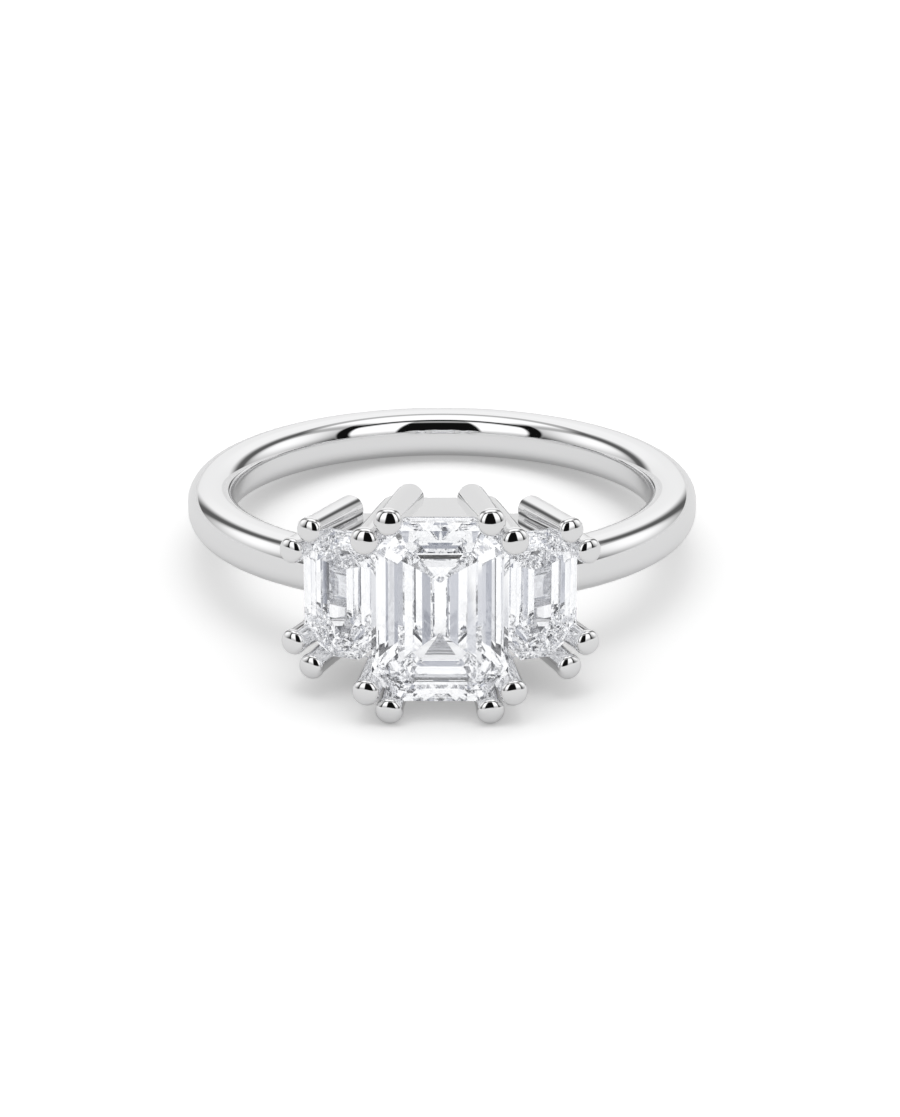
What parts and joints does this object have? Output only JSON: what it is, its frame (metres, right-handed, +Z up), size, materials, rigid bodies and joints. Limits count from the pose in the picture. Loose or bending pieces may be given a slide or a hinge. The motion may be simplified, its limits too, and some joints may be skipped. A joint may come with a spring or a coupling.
{
  "type": "three-stone engagement ring",
  "caption": "Finger ring with an emerald-cut stone between two smaller ones, held by pairs of round-headed claws on a round-wire shank.",
  "frame": {"origin": "bottom centre of the box of the resting ring, on the surface it lies on", "axes": "+X across the head towards the right stone, +Y from the head to the far side of the shank, +Z up"},
  "size_m": [0.0208, 0.025, 0.0084],
  "materials": {
    "polished_metal": "polished white metal",
    "diamond": "clear, polished flat facets"
  },
  "bodies": {
    "root": {"mount": "polished_metal", "centre_stone": "diamond", "left_stone": "diamond", "right_stone": "diamond"}
  },
  "joints": []
}
